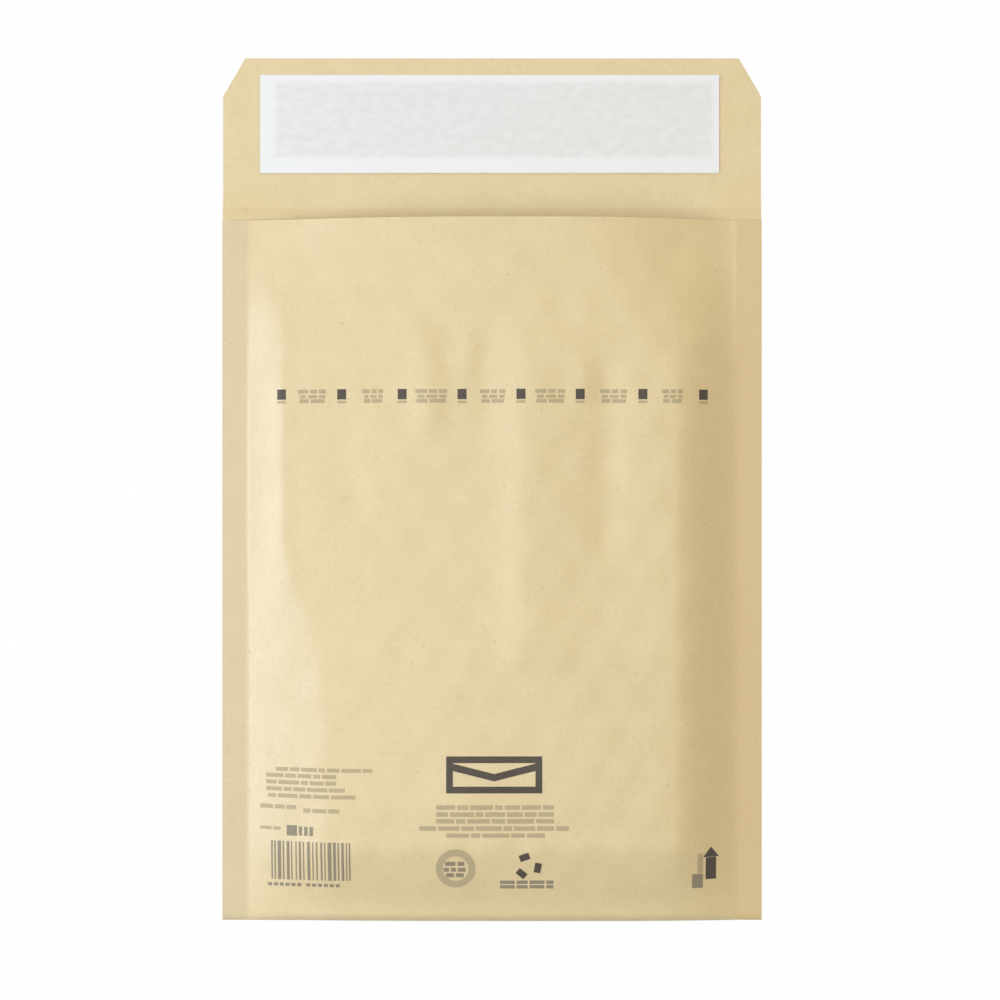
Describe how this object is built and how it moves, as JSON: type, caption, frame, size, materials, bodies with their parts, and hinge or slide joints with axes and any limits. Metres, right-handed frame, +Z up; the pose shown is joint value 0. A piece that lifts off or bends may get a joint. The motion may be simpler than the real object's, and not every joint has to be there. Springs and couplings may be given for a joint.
{
  "type": "padded envelope",
  "caption": "Kraft paper mailing envelope lined with bubble film, empty, lying on its back with its flap open and a peel-off liner over the adhesive.",
  "frame": {"origin": "middle of the outline on the surface that the back panel rests on", "axes": "+X across the envelope, +Y from the bottom fold towards the open flap, +Z up out of the front panel"},
  "size_m": [0.17, 0.272, 0.0145],
  "materials": {
    "kraft_paper": "matt machine-finished kraft with fine fibres",
    "bubble_film": "clear polyethylene film",
    "hot_melt": "tacky hot-melt adhesive",
    "silicone_paper": "smooth siliconised release paper",
    "printing_ink": "thin matt print on the front panel"
  },
  "bodies": {
    "root": {"kraft_sheet": "kraft_paper", "bubble_lining": "bubble_film", "adhesive_band": "hot_melt", "release_liner": "silicone_paper"}
  },
  "joints": []
}
